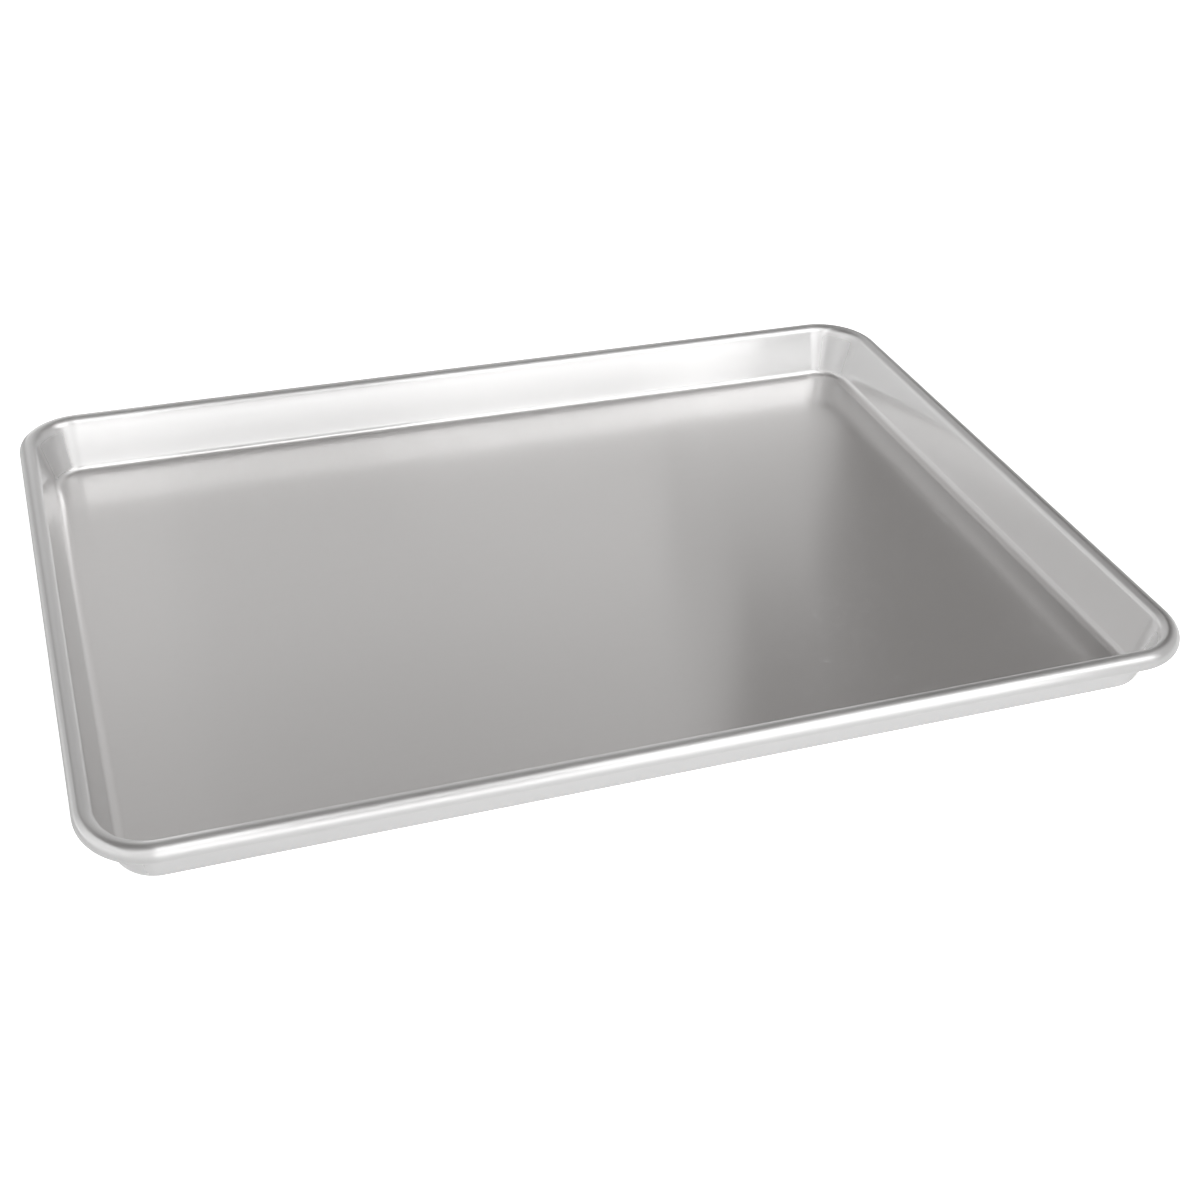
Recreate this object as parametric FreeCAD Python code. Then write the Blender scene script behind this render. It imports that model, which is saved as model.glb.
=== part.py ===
import FreeCAD, Part
import math
import os

Vector = FreeCAD.Vector

# A jelly roll pan: one aluminium sheet, drawn into a shallow tray with flared walls, whose top edge is
# curled outwards and down round a steel wire. Millimetres. The origin is under the middle of the floor,
# +X runs along the pan, +Y across it and +Z up.

# Sizes over all
rim_length = 413.0  # outside the rim, the long way
rim_width = 292.0  # outside the rim, the short way
pan_height = 24.3  # underside of the floor to the top of the rim

# The sheet and its bends
sheet_thickness = 1.0
flare = 16.4  # level reach from the edge of the flat floor to the outside of the rim
floor_bend_radius = 4.5  # inside radius where the floor turns up into the wall
floor_corner_radius = 9.7  # in plan, at a corner of the flat floor

# The rim wire and the curl that wraps it
wire_diameter = 5.0
wire_clearance = 0.25  # all round, between the wire and the curl
curl_slit = 0.3  # between the tucked edge of the curl and the outside of the wall
wire_end_gap = 0.6  # between the two butted ends of the wire

# What follows from them
floor_length = rim_length - 2 * flare
floor_width = rim_width - 2 * flare
curl_radius = wire_diameter / 2 + wire_clearance  # inside the curl
bead_radius = curl_radius + sheet_thickness  # outside the curl

UP = Vector(0, 0, 1)
ORIGIN = Vector(0, 0, 0)
QUARTER_TURN = 90


def section_point(reach, height):
    """A point of the wall's section: outwards from the edge of the flat floor, and up from its underside."""
    return Vector(floor_corner_radius + reach, 0, height)


def round_point(centre, radius, angle):
    """The point of a circle in the section's plane, with the angle counted from outwards towards up."""
    return centre + Vector(math.cos(angle), 0, math.sin(angle)) * radius


def arc(centre, radius, start, end):
    """The arc of a circle in the section's plane from one angle to another."""
    angles = (start, (start + end) / 2, end)
    return Part.Arc(*[round_point(centre, radius, angle) for angle in angles]).toShape()


bend_centre = section_point(0, sheet_thickness + floor_bend_radius)
bead_centre = section_point(flare - bead_radius, pan_height - bead_radius)


def wall_slope():
    """The angle of the wall above level, where its inside is tangent to both the floor bend and the bead."""
    span = bead_centre - bend_centre
    sight = math.atan2(span.z, span.x)
    return sight + math.asin((floor_bend_radius + bead_radius) / span.Length)


def sheet_section():
    """The bent sheet cut square across a wall: floor bend, flared wall, and the curl to its tucked edge."""
    slope = wall_slope()
    straight_down = -math.pi / 2
    bend_end = slope - math.pi / 2
    curl_start = slope + math.pi / 2
    # The curl turns over the top and under the wire, and stops where its edge is a slit from the wall
    tuck = math.acos((curl_radius - curl_slit) / bead_radius)
    curl_end = curl_start + tuck - 2 * math.pi

    inner_bend = arc(bend_centre, floor_bend_radius, straight_down, bend_end)
    outer_bend = arc(bend_centre, floor_bend_radius + sheet_thickness, straight_down, bend_end)
    outer_curl = arc(bead_centre, bead_radius, curl_start, curl_end)
    inner_curl = arc(bead_centre, curl_radius, curl_start, curl_end)

    floor_edge = Part.makeLine(outer_bend.firstVertex().Point, inner_bend.firstVertex().Point)
    wall_inside = Part.makeLine(inner_bend.lastVertex().Point, outer_curl.firstVertex().Point)
    cut_edge = Part.makeLine(outer_curl.lastVertex().Point, inner_curl.lastVertex().Point)
    wall_outside = Part.makeLine(inner_curl.firstVertex().Point, outer_bend.lastVertex().Point)
    inside = [floor_edge, inner_bend, wall_inside, outer_curl]
    outside = [cut_edge, inner_curl, wall_outside, outer_bend]
    return Part.Face(Part.Wire(inside + outside))


def corner_axes():
    """The upright axes that the four corners turn about, anticlockwise from the right-hand front one."""
    along = floor_length / 2 - floor_corner_radius
    across = floor_width / 2 - floor_corner_radius
    signs = [(1, -1), (1, 1), (-1, 1), (-1, -1)]
    return [Vector(sign_x * along, sign_y * across, 0) for sign_x, sign_y in signs]


def carried_round(section):
    """One solid: the section drawn along the four sides and turned round the four corners."""
    axes = corner_axes()
    runs = []
    for side, start in enumerate(axes):
        end = axes[(side + 1) % len(axes)]
        placed = section.copy()
        placed.rotate(ORIGIN, UP, side * QUARTER_TURN)
        placed.translate(start)
        runs.append(placed.extrude(end - start))
        placed.translate(end - start)
        runs.append(placed.revolve(end, UP, QUARTER_TURN))
    return runs[0].multiFuse(runs[1:]).removeSplitter()


def is_upright(edge):
    return edge.BoundBox.XLength + edge.BoundBox.YLength < edge.BoundBox.ZLength


def floor_plate():
    """The flat of the floor, up to where its edges begin to bend."""
    corner = Vector(-floor_length / 2, -floor_width / 2, 0)
    plate = Part.makeBox(floor_length, floor_width, sheet_thickness, corner)
    return plate.makeFillet(floor_corner_radius, [edge for edge in plate.Edges if is_upright(edge)])


def pan_body():
    """The drawn sheet: floor, walls, corners and curled rim in one piece."""
    return floor_plate().fuse(carried_round(sheet_section())).removeSplitter()


def rim_wire():
    """The wire inside the curl, one length whose ends butt at the middle of the back."""
    circle = Part.makeCircle(wire_diameter / 2, bead_centre, Vector(0, 1, 0))
    ring = carried_round(Part.Face(Part.Wire(circle)))
    wire_line = rim_width / 2 - bead_radius
    corner = Vector(-wire_end_gap / 2, wire_line - wire_diameter, bead_centre.z - wire_diameter)
    joint = Part.makeBox(wire_end_gap, 2 * wire_diameter, 2 * wire_diameter, corner)
    return ring.cut(joint)


os.makedirs("parts", exist_ok=True)
pieces = {"pan_body": pan_body(), "rim_wire": rim_wire()}
for name, shape in pieces.items():
    shape.exportStep("parts/" + name + ".step")
    box = shape.optimalBoundingBox(False, False)
    size = "{:.1f} x {:.1f} x {:.1f} mm".format(box.XLength, box.YLength, box.ZLength)
    print(name, size, "solids:", len(shape.Solids), "valid:", shape.isValid())
print("flat floor {:.1f} x {:.1f} mm".format(floor_length, floor_width))
print("wall leans out {:.1f} degrees from upright".format(90 - math.degrees(wall_slope())))
print("bead {:.1f} mm across".format(2 * bead_radius))
print("rim corner radius {:.1f} mm".format(floor_corner_radius + flare))
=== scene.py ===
# %% [markdown]
# # A jelly roll pan
# The pan is one sheet of rolled aluminium, pressed into a shallow tray, with its top edge curled
# round a steel wire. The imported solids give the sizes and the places. This lesson gives them their
# looks: a smooth shell, a rolled grain that bends with the sheet, and a tent of soft light.

import math

import bmesh
import bpy
from mathutils import Matrix, Vector


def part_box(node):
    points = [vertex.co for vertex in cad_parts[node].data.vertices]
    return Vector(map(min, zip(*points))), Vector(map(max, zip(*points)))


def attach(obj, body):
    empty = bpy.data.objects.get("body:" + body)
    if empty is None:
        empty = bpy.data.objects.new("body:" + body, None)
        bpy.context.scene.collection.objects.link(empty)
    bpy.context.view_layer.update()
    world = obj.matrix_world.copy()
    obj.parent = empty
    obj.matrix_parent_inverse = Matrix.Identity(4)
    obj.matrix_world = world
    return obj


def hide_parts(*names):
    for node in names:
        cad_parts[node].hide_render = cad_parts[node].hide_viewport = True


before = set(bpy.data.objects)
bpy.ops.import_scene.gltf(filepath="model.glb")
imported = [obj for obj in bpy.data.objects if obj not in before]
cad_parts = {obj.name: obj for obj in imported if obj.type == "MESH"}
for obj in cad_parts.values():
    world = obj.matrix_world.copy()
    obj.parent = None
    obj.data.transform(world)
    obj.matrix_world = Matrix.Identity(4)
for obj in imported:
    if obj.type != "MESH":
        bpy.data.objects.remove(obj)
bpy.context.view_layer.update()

# %% [markdown]
# ## Sizes
# Whatever the solids can tell is read from them, so the looks follow a pan of another size. The
# bends of the sheet can't be read from a box, so they are named here, in metres.

# %% Read the pan's sizes
MM = 0.001

pan_low, pan_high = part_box("pan_body")
wire_low, wire_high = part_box("rim_wire")
rim_length = pan_high.x - pan_low.x
rim_width = pan_high.y - pan_low.y
pan_height = pan_high.z - pan_low.z
wire_radius = (wire_high.z - wire_low.z) / 2

sheet_thickness = 1.0 * MM
flare = 16.4 * MM
floor_bend_radius = 4.5 * MM
floor_corner_radius = 9.7 * MM
wire_clearance = 0.25 * MM
curl_slit = 0.3 * MM
wire_end_gap = 0.6 * MM

curl_radius = wire_radius + wire_clearance
bead_radius = curl_radius + sheet_thickness
print("rim {:.1f} x {:.1f} mm".format(rim_length / MM, rim_width / MM))
print("bead {:.2f} mm across".format(2 * bead_radius / MM))

# %% [markdown]
# ## The way round the pan
# Floor edge, wall and rim all follow the same rounded rectangle at different distances, so one list
# of stations serves them all. A station is a point on the line of corner centres and the level
# direction that faces outwards there. The list starts at the middle of the back, where the wire's
# ends meet.

# %% Walk round the rounded rectangle
SIDE_STEPS = 16
CORNER_STEPS = 28


def corner_centres():
    """The upright axes of the four corners, anticlockwise from the right-hand back one."""
    along = rim_length / 2 - flare - floor_corner_radius
    across = rim_width / 2 - flare - floor_corner_radius
    signs = [(1, 1), (-1, 1), (-1, -1), (1, -1)]
    return [Vector((sign_x * along, sign_y * across, 0)) for sign_x, sign_y in signs]


def outward(turn):
    """The level direction at an angle from +X."""
    return Vector((math.cos(turn), math.sin(turn), 0))


def walk_round():
    """Stations round the pan, from the middle of the back and back to just before it."""
    centres = corner_centres()
    stations = []
    for side, start in enumerate(centres):
        end = centres[(side + 1) % 4]
        facing = (side + 1) * math.pi / 2
        for step in range(SIDE_STEPS):
            stations.append((start.lerp(end, step / SIDE_STEPS), outward(facing)))
        for step in range(CORNER_STEPS):
            stations.append((end, outward(facing + step / CORNER_STEPS * math.pi / 2)))
    middle = SIDE_STEPS // 2
    return stations[middle:] + stations[:middle]


stations = walk_round()
print(len(stations), "stations round the pan")

# %% [markdown]
# ## The section of the sheet
# Cut across a wall, the sheet is a chain of arcs and straight lines: along the floor, round the
# floor bend, up the wall, over the curl to its tucked edge, and back along the other face. Each
# point also keeps its distance on the flat blank, the sheet before it was pressed, because the
# grain was rolled into the blank and bends with it.

# %% Draw the section
BEND_STEPS = 14
CURL_STEPS = 72
WALL_STEPS = 5
EDGE_STEPS = 8
FLOOR_MARGIN = 2.0 * MM

bend_centre = Vector((0, sheet_thickness + floor_bend_radius))
bead_centre = Vector((flare - bead_radius, pan_height - bead_radius))
span = bead_centre - bend_centre
span_slope = math.atan2(span.y, span.x)
wall_slope = span_slope + math.asin((floor_bend_radius + bead_radius) / span.length)
curl_start = wall_slope + math.pi / 2
tuck = math.acos((curl_radius - curl_slit) / bead_radius)
curl_end = curl_start + tuck - 2 * math.pi


def on_circle(centre, radius, angle):
    """A point of the section, with the angle counted from outwards towards up."""
    return centre + radius * Vector((math.cos(angle), math.sin(angle)))


def spread(start, end, steps):
    """Even values from start to end, both included."""
    return [start + (end - start) * step / steps for step in range(steps + 1)]


bend_middle = floor_bend_radius + sheet_thickness / 2
curl_middle = curl_radius + sheet_thickness / 2
wall_foot = on_circle(bend_centre, floor_bend_radius, wall_slope - math.pi / 2)
wall_top = on_circle(bead_centre, bead_radius, curl_start)
wall_length = (wall_top - wall_foot).length
bend_length = bend_middle * wall_slope
wall_end = bend_length + wall_length
edge_start = curl_end + sheet_thickness / 2 / curl_middle


def curl_distance(angle):
    """How far along the blank a point of the curl lies."""
    return wall_end + curl_middle * (curl_start - angle)


def sheet_face(offset):
    """One face of the sheet from the floor to where the cut edge rounds off: (point, blank distance)."""
    bend_radius = bend_middle + offset
    curl_face = curl_middle - offset
    face = [(Vector((-FLOOR_MARGIN, bend_centre.y - bend_radius)), -FLOOR_MARGIN)]
    for angle in spread(0, wall_slope, BEND_STEPS):
        point = on_circle(bend_centre, bend_radius, angle - math.pi / 2)
        face.append((point, bend_middle * angle))
    foot = face[-1][0]
    top = on_circle(bead_centre, curl_face, curl_start)
    for share in spread(0, 1, WALL_STEPS)[1:-1]:
        face.append((foot.lerp(top, share), bend_length + wall_length * share))
    for angle in spread(curl_start, edge_start, CURL_STEPS):
        face.append((on_circle(bead_centre, curl_face, angle), curl_distance(angle)))
    return face


def cut_edge():
    """The edge of the sheet at the end of the curl, with its corners worn round by the shears."""
    centre = on_circle(bead_centre, curl_middle, edge_start)
    blank = curl_distance(edge_start)
    turns = spread(edge_start, edge_start - math.pi, EDGE_STEPS)[1:-1]
    return [(on_circle(centre, sheet_thickness / 2, turn), blank) for turn in turns]


section = sheet_face(-sheet_thickness / 2) + cut_edge() + sheet_face(sheet_thickness / 2)[::-1]
print(len(section), "points in the section, wall leans", round(90 - math.degrees(wall_slope), 1))

# %% [markdown]
# ## The shell
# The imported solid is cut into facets, and polished metal shows each one. So the shell is drawn
# again as an even net of four-sided faces, section by section round the stations. A UV map named
# `blank` gives each point its place on the flat sheet: U runs across the rolled grain, V along it.
# Two more numbers stay on every point for the finish: `drawn` is its distance up the sheet from
# the edge of the floor, and `turned` is 0 along a side and 1 at the middle of a corner.

# %% Carry the section round
def placed(station, point):
    """A point of the section at a station, in the pan's frame."""
    centre, facing = station
    return centre + facing * (floor_corner_radius + point.x) + Vector((0, 0, point.y))


def net(mesh, rows, closed):
    """Faces between neighbouring rows of vertices, and from the last row to the first if closed."""
    followers = rows[1:] + rows[:1] if closed else rows[1:]
    for row, after in zip(rows, followers):
        for at in range(len(row) - 1):
            mesh.faces.new((row[at], after[at], after[at + 1], row[at + 1]))


def finish_mesh(mesh, name):
    """A smooth object from a bmesh, with its normals facing out."""
    bmesh.ops.recalc_face_normals(mesh, faces=mesh.faces)
    for face in mesh.faces:
        face.smooth = True
    data = bpy.data.meshes.new(name)
    mesh.to_mesh(data)
    mesh.free()
    piece = bpy.data.objects.new(name, data)
    bpy.context.collection.objects.link(piece)
    return piece


def pan_shell():
    """The pressed sheet: floor, walls, corners and curled rim."""
    mesh = bmesh.new()
    drawn = mesh.verts.layers.float.new("drawn")
    turned = mesh.verts.layers.float.new("turned")
    places = {}
    rows = []
    for station in stations:
        facing = station[1]
        row = []
        for point, blank in section:
            vertex = mesh.verts.new(placed(station, point))
            vertex[drawn] = blank
            vertex[turned] = abs(2 * facing.x * facing.y)
            places[vertex] = placed(station, Vector((blank, 0)))
            row.append(vertex)
        rows.append(row)
    net(mesh, rows, closed=True)
    mesh.faces.new([row[0] for row in rows])
    mesh.faces.new([row[-1] for row in rows])
    blank_map = mesh.loops.layers.uv.new("blank")
    for face in mesh.faces:
        for loop in face.loops:
            place = places[loop.vert]
            loop[blank_map].uv = (place.y, place.x)
    return finish_mesh(mesh, "pan_shell")


shell = pan_shell()
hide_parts("pan_body")
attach(shell, "root")
print("shell", len(shell.data.polygons), "faces")

# %% [markdown]
# ## The rim wire
# The wire can only be seen through the slit under the curl. It is one bent rod whose two ends butt
# together at the back, so its net is open there and each end is closed by a flat face.

# %% Bend the wire
WIRE_STEPS = 20


def rim_rod():
    """The wire, from one butted end round the pan to the other."""
    mesh = bmesh.new()
    half_gap = Vector((wire_end_gap / 2, 0, 0))
    first_centre, back = stations[0]
    ends = [(first_centre - half_gap, back), (first_centre + half_gap, back)]
    turns = spread(0, 2 * math.pi, WIRE_STEPS)[:-1]
    circle = [on_circle(bead_centre, wire_radius, turn) for turn in turns]
    rows = []
    for station in ends[:1] + stations[1:] + ends[1:]:
        row = [mesh.verts.new(placed(station, point)) for point in circle]
        rows.append(row + row[:1])
    net(mesh, rows, closed=False)
    for row in (rows[0], rows[-1]):
        mesh.faces.new(row[:-1])
    return finish_mesh(mesh, "rim_rod")


rod = rim_rod()
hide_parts("rim_wire")
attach(rod, "root")
print("wire", len(rod.data.polygons), "faces")

# %% [markdown]
# ## Sums as shader nodes
# A finish is easier to read as a sum than as a chain of nodes. `Value` wraps one socket, and each
# operator on it adds the Math node that does the same. Every other node comes from `Value.of`.

# %% Wrap a socket
class Value:
    """The value of a socket in a node tree, for use in sums."""

    def __init__(self, tree, socket):
        self.tree = tree
        self.socket = socket

    @classmethod
    def of(cls, tree, kind, settings=None, sockets=None, out=0):
        """A node's output: its settings are set first, then the values or links of its sockets."""
        node = tree.nodes.new(kind)
        for name, setting in (settings or {}).items():
            setattr(node, name, setting)
        for name, value in (sockets or {}).items():
            if isinstance(value, Value):
                tree.links.new(value.socket, node.inputs[name])
            else:
                node.inputs[name].default_value = value
        return cls(tree, node.outputs[out])

    def sum(self, operation, first, second):
        """A Math node's answer."""
        return Value.of(self.tree, "ShaderNodeMath", {"operation": operation}, {0: first, 1: second})

    def __add__(self, other):
        return self.sum("ADD", self, other)

    def __sub__(self, other):
        return self.sum("SUBTRACT", self, other)

    def __rsub__(self, other):
        return self.sum("SUBTRACT", other, self)

    def __mul__(self, other):
        return self.sum("MULTIPLY", self, other)

    __radd__ = __add__
    __rmul__ = __mul__


def ease(value, start, end):
    """0 before start, 1 after end, and a soft step between."""
    settings = {"interpolation_type": "SMOOTHSTEP"}
    sockets = {"Value": value, "From Min": start, "From Max": end}
    return Value.of(value.tree, "ShaderNodeMapRange", settings, sockets)


def mixed(share, first, second):
    """A colour that turns from the first into the second as the share goes from 0 to 1."""
    # A Mix node has sockets for every kind of data under the same names: these are the colours'
    sockets = {0: share, 6: first, 7: second}
    return Value.of(share.tree, "ShaderNodeMix", {"data_type": "RGBA"}, sockets, out=2)


def fresh_tree(owner):
    """The node tree of a material or world, emptied, and its output node."""
    owner.use_nodes = True
    tree = owner.node_tree
    tree.nodes.clear()
    kind = "World" if owner.bl_rna.identifier == "World" else "Material"
    return tree, tree.nodes.new("ShaderNodeOutput" + kind)


print("sums ready")

# %% [markdown]
# ## Satin aluminium
# Rolling leaves fine parallel lines in the sheet, so light that falls across them is smeared far
# more than light that falls along them. That is what Anisotropic does, and the tangent, read from
# the `blank` map, turns the smear with the sheet round every bend. Noise that is stretched along
# the same lines draws the grain itself.

# %% Roll the grain
def rolled_noise(blank, across, along, detail):
    """Noise on the flat blank, with so many specks in a metre across the grain and along it."""
    stretch = {0: blank, 1: (across, along, 1.0)}
    place = Value.of(blank.tree, "ShaderNodeVectorMath", {"operation": "MULTIPLY"}, stretch)
    sockets = {"Vector": place, "Scale": 1.0, "Detail": detail}
    return Value.of(blank.tree, "ShaderNodeTexNoise", {}, sockets)


def noted(tree, name):
    """A number that the shell keeps on every point."""
    return Value.of(tree, "ShaderNodeAttribute", {"attribute_name": name}, out="Fac")


print("grain ready")

# %% [markdown]
# ## What the press does to the finish
# The die rubs the walls a little smoother than the floor, stretches the bend and leaves the drawn
# corners matt. The floor keeps short scuffs from the rolls. Its colour is tinted warmer than the
# walls' as a painted warm reflection of the warm, dim room that the floor mirrors.
# Mill aluminium shows a sharp sheen under a wide haze, which one metal can't give, so two that
# differ only in roughness are mixed half and half.

# %% Mix the aluminium
# The warm floor colour is a painted warm reflection of the dim room; the neutral one is the metal's own
# grey.
PAINTED_WARM_REFLECTION = (0.888, 0.878, 0.873, 1.0)
NEUTRAL = (0.88, 0.88, 0.88, 1.0)

FLOOR_ROUGHNESS = 0.25
WALL_RUB = 0.03
RIM_WEAR = 0.01
BEND_STRETCH = 0.02
CORNER_MATT = 0.14
CLOUD_DEPTH = 0.02
SCUFF_DEPTH = 0.09
SHEEN_GAIN = 0.14
WALL_SHEEN_LOSS = 0.05
RIM_SHEEN_LOSS = 0.09
HAZE_LOSS = 0.1
WALL_HAZE_GAIN = 0.04
GRAIN_DARKEST = 0.985
GRAIN_CONTRAST = 0.03
GRAIN_HEIGHT = 0.05 * MM
GRAIN_BUMP = 0.015


def satin_aluminium():
    """Rolled aluminium: a straight grain, short scuffs, and a finish that follows the bends."""
    material = bpy.data.materials.new("satin_aluminium")
    tree, output = fresh_tree(material)
    blank = Value.of(tree, "ShaderNodeUVMap", {"uv_map": "blank"})
    tangent = Value.of(tree, "ShaderNodeTangent", {"direction_type": "UV_MAP", "uv_map": "blank"})
    drawn = noted(tree, "drawn")
    turned = noted(tree, "turned")

    bend_edge = 0.15 * bend_length
    past_floor = ease(drawn, -bend_edge, bend_edge)
    past_bend = ease(drawn, bend_length - bend_edge, bend_length + bend_edge)
    in_bend = past_floor * (1 - past_bend)
    on_wall = ease(drawn, 0.3 * bend_length, bend_length)
    on_rim = ease(drawn, wall_end - 0.15 * wall_length, wall_end + 0.05 * wall_length)
    in_corner = ease(turned, 0.0, 0.8) * on_wall * (1 - on_rim)

    grain = rolled_noise(blank, 2600.0, 30.0, 3.0)
    clouds = rolled_noise(blank, 14.0, 9.0, 2.0)
    scuffs = ease(rolled_noise(blank, 1600.0, 240.0, 0.0), 0.65, 0.73) * (1 - on_wall)

    roughness = FLOOR_ROUGHNESS - WALL_RUB * on_wall + RIM_WEAR * on_rim
    roughness = roughness + BEND_STRETCH * in_bend + CORNER_MATT * in_corner
    roughness = roughness + CLOUD_DEPTH * clouds + SCUFF_DEPTH * scuffs
    # The rubbed walls and the rim bring the sheen and the haze closer together
    sheen_roughness = roughness - SHEEN_GAIN + WALL_SHEEN_LOSS * on_wall + RIM_SHEEN_LOSS * on_rim
    haze_roughness = roughness + HAZE_LOSS - WALL_HAZE_GAIN * on_wall

    tone = GRAIN_DARKEST + GRAIN_CONTRAST * grain * (1 - 0.7 * on_wall)
    # The floor's warmer tint is a painted warm reflection; the walls keep the metal's own neutral grey.
    grey_and_painted_warmth = mixed(on_wall, PAINTED_WARM_REFLECTION, NEUTRAL)
    colour = Value.of(tree, "ShaderNodeVectorMath", {"operation": "SCALE"}, {0: grey_and_painted_warmth, "Scale": tone})
    ridges = {"Height": grain, "Strength": GRAIN_BUMP, "Distance": GRAIN_HEIGHT}
    bump = Value.of(tree, "ShaderNodeBump", {}, ridges)

    finish = {"Base Color": colour, "Metallic": 1.0, "Normal": bump}
    finish |= {"Anisotropic": 1.0, "Tangent": tangent}
    sheen = Value.of(tree, "ShaderNodeBsdfPrincipled", {}, finish | {"Roughness": sheen_roughness})
    haze = Value.of(tree, "ShaderNodeBsdfPrincipled", {}, finish | {"Roughness": haze_roughness})
    metal = Value.of(tree, "ShaderNodeMixShader", {}, {0: 0.5, 1: sheen, 2: haze})
    tree.links.new(metal.socket, output.inputs["Surface"])
    return material


shell.data.materials.append(satin_aluminium())
print("aluminium on", shell.name)

# %% [markdown]
# ## Galvanised wire
# The wire is drawn steel with a coat of zinc, which sets in soft grey flakes. Hardly any of it shows,
# so noise in the roughness is enough.

# %% Galvanise the wire
ZINC = (0.58, 0.6, 0.61, 1.0)


def galvanised_wire():
    """Zinc on steel: pale grey with soft flakes."""
    material = bpy.data.materials.new("galvanised_wire")
    tree, output = fresh_tree(material)
    place = Value.of(tree, "ShaderNodeTexCoord", out="Object")
    flakes = Value.of(tree, "ShaderNodeTexNoise", {}, {"Vector": place, "Scale": 900.0, "Detail": 2.0})
    finish = {"Base Color": ZINC, "Metallic": 1.0, "Roughness": 0.35 + 0.25 * flakes}
    metal = Value.of(tree, "ShaderNodeBsdfPrincipled", {}, finish)
    tree.links.new(metal.socket, output.inputs["Surface"])
    return material


rod.data.materials.append(galvanised_wire())
print("zinc on", rod.name)

# %% [markdown]
# ## The room
# Bright metal has no colour of its own to show: it shows the room. The camera sees a white one. The
# metal sees a dim one with a white line low down, where the paper runs up behind the table. The
# Light Path node tells which of the two is looking.

# %% Dim the room
DUSK = (0.124, 0.118, 0.115, 1.0)
WHITE = (1.0, 1.0, 1.0, 1.0)


def lookers(tree):
    """1 for a ray from the camera, and 1 for a ray that metal or glass sends on."""
    path = Value.of(tree, "ShaderNodeLightPath").socket.node.outputs
    mirrored = Value(tree, path["Is Glossy Ray"]) + Value(tree, path["Is Transmission Ray"])
    return Value(tree, path["Is Camera Ray"]), mirrored


def studio_room():
    """White to the camera; to the metal, dusk with a white line at the horizon."""
    world = bpy.data.worlds.new("studio_room")
    tree, output = fresh_tree(world)
    camera, mirrored = lookers(tree)
    way = Value.of(tree, "ShaderNodeTexCoord", out="Generated")
    level = Value.of(tree, "ShaderNodeSeparateXYZ", {}, {"Vector": way}, out="Z")
    horizon = 1 - ease(level, 0.03, 0.08)
    colour = mixed(camera + 0.6 * mirrored * horizon, DUSK, WHITE)
    glow = Value.of(tree, "ShaderNodeBackground", {}, {"Color": colour})
    tree.links.new(glow.socket, output.inputs["Surface"])
    return world


bpy.context.scene.world = studio_room()
print("room dimmed")

# %% [markdown]
# ## The tent
# A photographer stands metal in a tent of white cloth and lights the cloth from outside, one patch
# brighter than the next. Each patch here is an area lamp that faces in, and its level is how bright
# its face is, so that 1 mirrors as white.

# %% Hang a patch of the tent
TENT = {"front": ("y", -0.83), "back": ("y", 0.8), "left": ("x", -1.4), "right": ("x", 1.5)}


def patch(name, side, across, up, level):
    """A rectangle of light on one side of the tent, that the camera doesn't see."""
    axis, distance = TENT[side]
    lamp = bpy.data.lights.new(name, "AREA")
    lamp.shape = "RECTANGLE"
    lamp.size = across[1] - across[0]
    lamp.size_y = up[1] - up[0]
    lamp.energy = math.pi * lamp.size * lamp.size_y * level
    place = [sum(across) / 2, sum(up) / 2]
    place.insert("xyz".index(axis), distance)
    inwards = Vector([-distance if letter == axis else 0 for letter in "xyz"])
    piece = bpy.data.objects.new(name, lamp)
    piece.location = place
    piece.rotation_euler = inwards.to_track_quat("-Z", "Y").to_euler()
    piece.visible_camera = False
    bpy.context.collection.objects.link(piece)


print("tent", TENT)

# %% [markdown]
# ## The front of the tent
# The pan's back wall leans away and mirrors the low patches in front. The floor next to that wall
# mirrors the wall, and so shows the high patches after two bounces. A gap between the left and the
# right patch stays dark, so that the rim doesn't burn out there.

# %% Light the front
patch("front_low", "front", (-0.3, 0.6), (0.0, 0.3), 1.6)
patch("front_low_left", "front", (-1.4, -0.3), (0.0, 0.3), 0.8)
patch("front_low_right", "front", (0.6, 1.5), (0.0, 0.3), 0.35)
patch("front_middle", "front", (-1.4, 1.5), (0.3, 0.65), 0.5)
patch("front_left", "front", (-1.4, -0.05), (0.65, 1.1), 1.45)
patch("front_right", "front", (0.25, 1.5), (0.65, 1.1), 1.65)
patch("front_high", "front", (-0.3, 1.5), (1.1, 1.8), 2.7)
patch("front_high_left", "front", (-1.4, -0.3), (1.1, 1.8), 0.65)
patch("front_top_right", "front", (1.0, 2.0), (1.8, 2.6), 1.6)
print("front lit")

# %% [markdown]
# ## The sides and the back
# Each end wall of the pan mirrors the side across from it. The open floor mirrors the back, which is
# kept at about half so that the metal stays grey. From a little above the table upwards, the back
# patches end towards the right, and the floor turns dark there.

# %% Light the sides and the back
patch("left_side", "left", (-0.83, 0.8), (0.0, 1.8), 0.76)
patch("right_side", "right", (-0.83, 0.8), (0.0, 1.8), 0.41)
patch("back_low", "back", (-0.1, 1.1), (0.0, 0.3), 0.44)
patch("back_glow", "back", (-0.4, -0.1), (0.0, 0.3), 1.1)
patch("back_low_left", "back", (-1.4, -0.4), (0.0, 0.3), 0.28)
patch("back_panel", "back", (-0.4, 0.42), (0.3, 0.65), 0.52)
patch("back_edge_low", "back", (0.42, 0.6), (0.3, 0.47), 0.64)
patch("back_edge_high", "back", (0.42, 0.6), (0.47, 0.65), 0.34)
patch("back_left", "back", (-1.4, -0.4), (0.3, 0.65), 0.25)
patch("back_high", "back", (-1.4, 0.52), (0.65, 1.1), 0.36)
print("sides and back lit")

# %% [markdown]
# ## The table
# The pan stands on white paper, which keeps its shadow. Near the pan the paper glows only a little
# of itself, and far off it fades into the white room. The metal sees it dimmer, with one lighter
# pool at the front, because a polished rim would burn out over a table as bright as the camera's.

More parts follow.
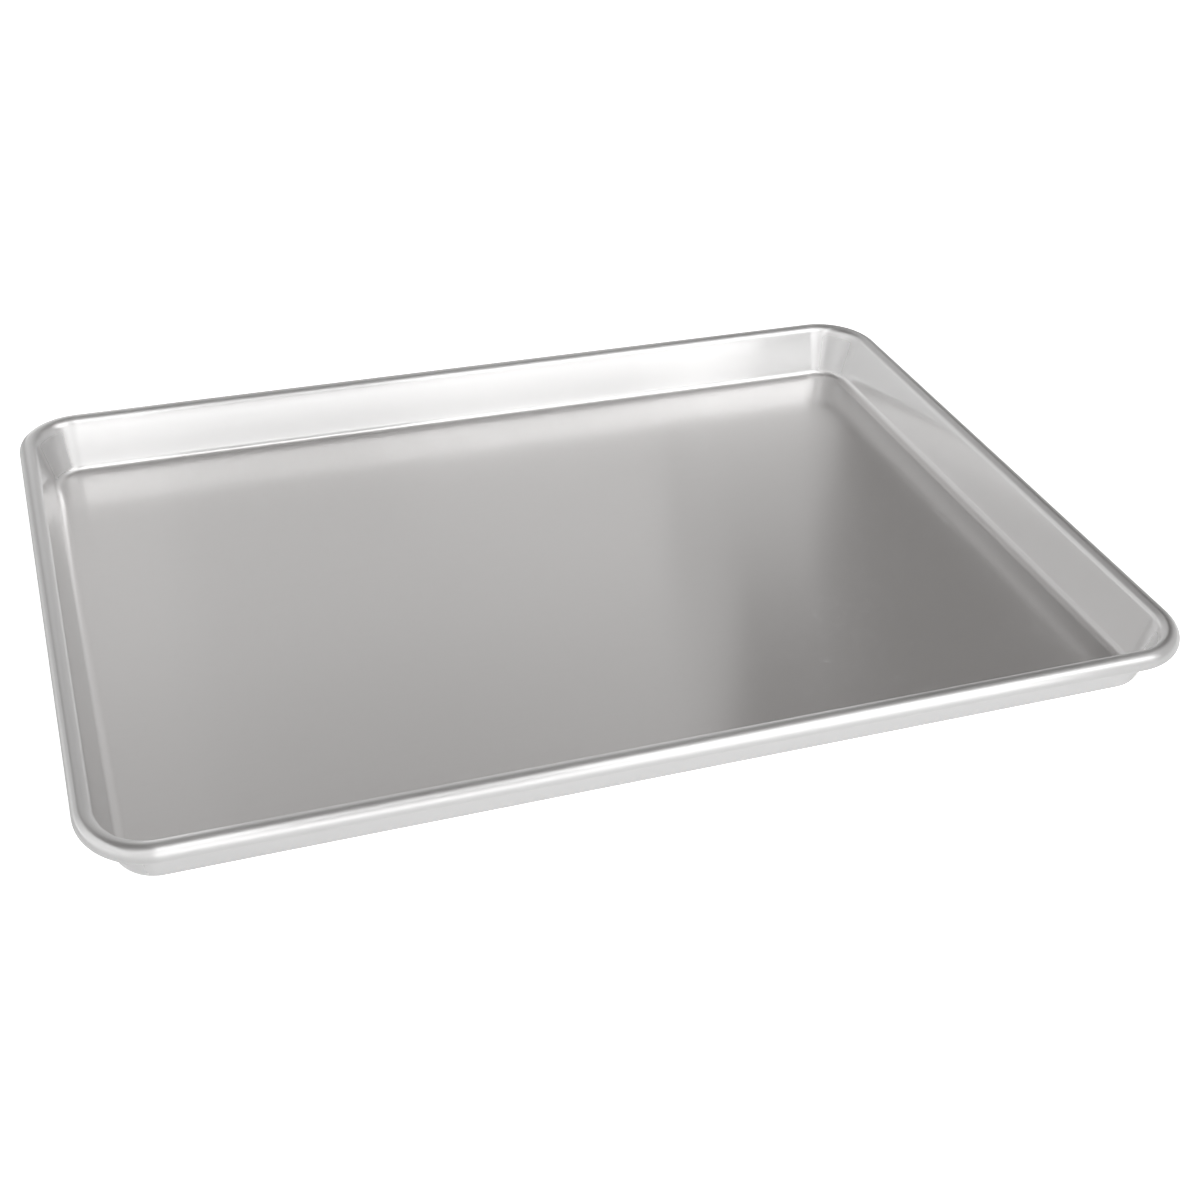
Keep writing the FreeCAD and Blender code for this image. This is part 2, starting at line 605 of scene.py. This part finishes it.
# %% Lay the table
PAPER = (0.8, 0.8, 0.8, 1.0)
POOL_MIDDLE = (0.2, -0.3, 0.0)
TABLE_REACH = 6.0
TABLE_DROP = 0.1 * MM
NEAR_GLOW = 0.8
FAR_GLOW = 0.2
MIRRORED_GLOW = 0.07
POOL_GLOW = 0.15


def table_white():
    """Matt paper with a glow for the camera and a fainter one for the metal."""
    material = bpy.data.materials.new("table_white")
    tree, output = fresh_tree(material)
    camera, mirrored = lookers(tree)
    place = Value.of(tree, "ShaderNodeTexCoord", out="Object")
    ends = {0: place, 1: POOL_MIDDLE}
    gap = Value.of(tree, "ShaderNodeVectorMath", {"operation": "DISTANCE"}, ends, out="Value")
    pool = 1 - ease(gap, 0.3, 0.6)
    far = ease(gap, 0.6, 1.2)
    shown = (NEAR_GLOW + FAR_GLOW * far) * camera
    strength = shown + (MIRRORED_GLOW + POOL_GLOW * pool) * mirrored
    matt = Value.of(tree, "ShaderNodeBsdfDiffuse", {}, {"Color": PAPER})
    glow = Value.of(tree, "ShaderNodeEmission", {}, {"Color": strength})
    both = Value.of(tree, "ShaderNodeAddShader", {}, {0: matt, 1: glow})
    tree.links.new(both.socket, output.inputs["Surface"])
    return material


def table():
    """A wide plane a hair under the pan."""
    mesh = bmesh.new()
    height = pan_low.z - TABLE_DROP
    signs = [(-1, -1), (1, -1), (1, 1), (-1, 1)]
    mesh.faces.new([mesh.verts.new((x * TABLE_REACH, y * TABLE_REACH, height)) for x, y in signs])
    piece = finish_mesh(mesh, "table")
    piece.data.materials.append(table_white())
    return piece


white_table = table()
print("table laid")

# %% [markdown]
# ## The camera
# It stands to the left in front of the pan, about two pan widths off, and looks down on it at 36
# degrees. Its place and lens were solved from the pan's outline, corner by corner, and the small
# shift only frames the picture.

# %% Set the camera
def pan_camera():
    """A camera at the left front, looking down into the pan."""
    turn = math.radians(-18.6545)
    height = math.radians(35.9905)
    roll = math.radians(1.7233)
    target = Vector((-0.027137, -0.029861, 0.0))
    distance = 0.647039
    level = Vector((math.cos(turn), math.sin(turn), 0))
    outwards = Vector((math.sin(turn), -math.cos(turn), 0))
    back = outwards * math.cos(height) + Vector((0, 0, math.sin(height)))
    upright = back.cross(level)
    right = math.cos(roll) * level + math.sin(roll) * upright
    up = math.cos(roll) * upright - math.sin(roll) * level
    lens = bpy.data.cameras.new("pan_camera")
    lens.lens = 48.678
    lens.sensor_width = 36.0
    lens.shift_x = 0.06865
    lens.shift_y = 0.01916
    camera = bpy.data.objects.new("pan_camera", lens)
    place = Matrix((right, up, back)).transposed().to_4x4()
    place.translation = target + back * distance
    camera.matrix_world = place
    bpy.context.collection.objects.link(camera)
    return camera


bpy.context.scene.camera = pan_camera()
bpy.context.scene.view_settings.view_transform = "Standard"
print("camera at", [round(value, 3) for value in bpy.context.scene.camera.location])
